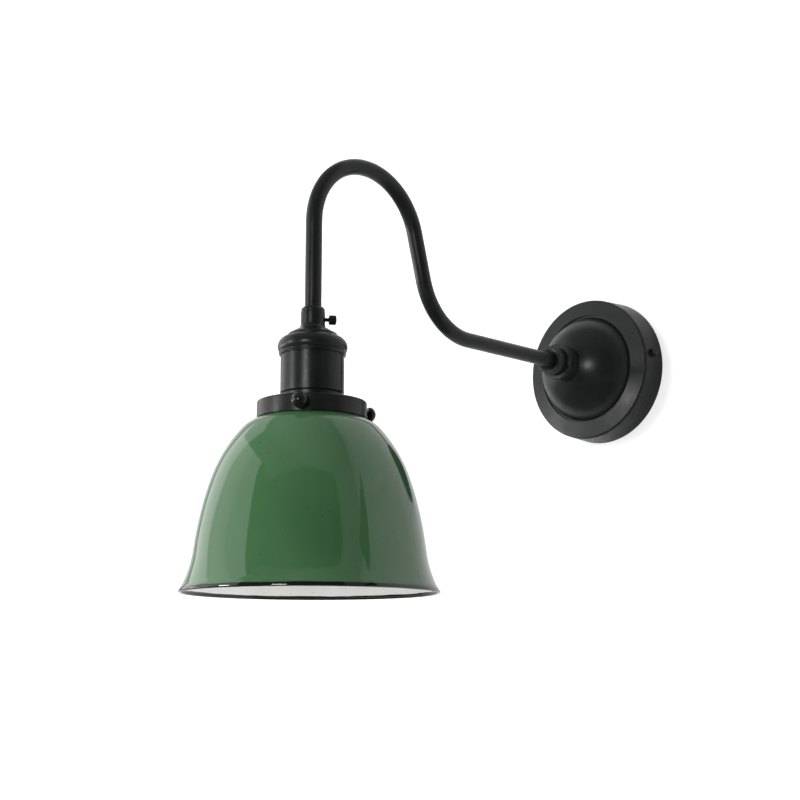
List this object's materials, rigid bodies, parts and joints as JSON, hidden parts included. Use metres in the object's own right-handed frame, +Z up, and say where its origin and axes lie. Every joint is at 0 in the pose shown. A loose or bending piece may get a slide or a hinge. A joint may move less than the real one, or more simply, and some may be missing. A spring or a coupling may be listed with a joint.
{
  "type": "gooseneck wall sconce",
  "caption": "Wall light with a round canopy, a bent tube arm that rises and arches over, and a lampholder with a screwed gallery that carries a bell shade facing down.",
  "frame": {"origin": "centre of the wall bracket's back face, on the wall", "axes": "+Y into the wall, -Y out along the arm, +Z up, +X to the right of someone who faces the wall"},
  "size_m": [0.1795, 0.4338, 0.3253],
  "materials": {
    "black_paint": "satin black stove paint",
    "green_enamel": "glossy deep green enamel outside, white enamel inside, black rim",
    "zinc_steel": "bright zinc plated",
    "earth_green_screw": "green passivated",
    "tinned_copper": "tinned",
    "earth_insulation": "green and yellow insulation",
    "neutral_insulation": "blue insulation",
    "live_insulation": "brown insulation",
    "block_plastic": "natural nylon",
    "bush_plastic": "natural nylon",
    "black_plastic": "moulded black",
    "brass": "bright",
    "porcelain": "glazed white"
  },
  "bodies": {
    "wall_side": {"wall_bracket": "zinc_steel", "ground_screw": "earth_green_screw", "earth_lug": "tinned_copper", "earth_lead": "earth_insulation", "terminal_block": "block_plastic", "terminal_tubes": "brass", "terminal_clamp_screws": "zinc_steel", "block_fixing_screw": "zinc_steel", "canopy": "black_paint", "canopy_side_screws": "black_paint", "arm_collar": "black_paint", "threaded_nipple": "zinc_steel", "lock_washer": "zinc_steel", "lock_nut": "zinc_steel", "arm_tube": "black_paint", "wire_bush": "bush_plastic", "neutral_lead": "neutral_insulation", "live_lead": "live_insulation"},
    "head": {"holder_cap": "black_paint", "holder_sleeve": "black_paint", "lamp_insert": "porcelain", "lamp_shell": "brass", "centre_contact": "brass", "contact_screws": "brass", "live_terminal": "brass", "neutral_terminal": "brass", "holder_terminal_screws": "zinc_steel", "live_tail": "live_insulation", "neutral_tail": "neutral_insulation", "gallery": "black_paint", "shade_ring": "black_plastic", "shade": "green_enamel"},
    "neck_screw": {"neck_screw": "black_paint"},
    "gallery_screw_front": {"gallery_screw_front": "black_paint"},
    "gallery_screw_right": {"gallery_screw_right": "black_paint"},
    "gallery_screw_rear": {"gallery_screw_rear": "black_paint"}
  },
  "joints": [
    {"name": "head_swivel", "type": "hinge", "parent": "wall_side", "child": "head", "pos_m": [0, -0.344, -0.012], "axis": [0, 0, 1], "range_deg": [-170, 170]},
    {"name": "neck_screw_travel", "type": "slide", "parent": "head", "child": "neck_screw", "axis": [0.5736, 0.8192, 0], "range_m": [0, 0.0022]},
    {"name": "front_screw_travel", "type": "slide", "parent": "head", "child": "gallery_screw_front", "axis": [0.5948, -0.8039, 0], "range_m": [0, 0.004]},
    {"name": "right_screw_travel", "type": "slide", "parent": "head", "child": "gallery_screw_right", "axis": [0.3987, 0.9171, 0], "range_m": [0, 0.004]},
    {"name": "rear_screw_travel", "type": "slide", "parent": "head", "child": "gallery_screw_rear", "axis": [-0.9936, -0.1132, 0], "range_m": [0, 0.004]}
  ]
}
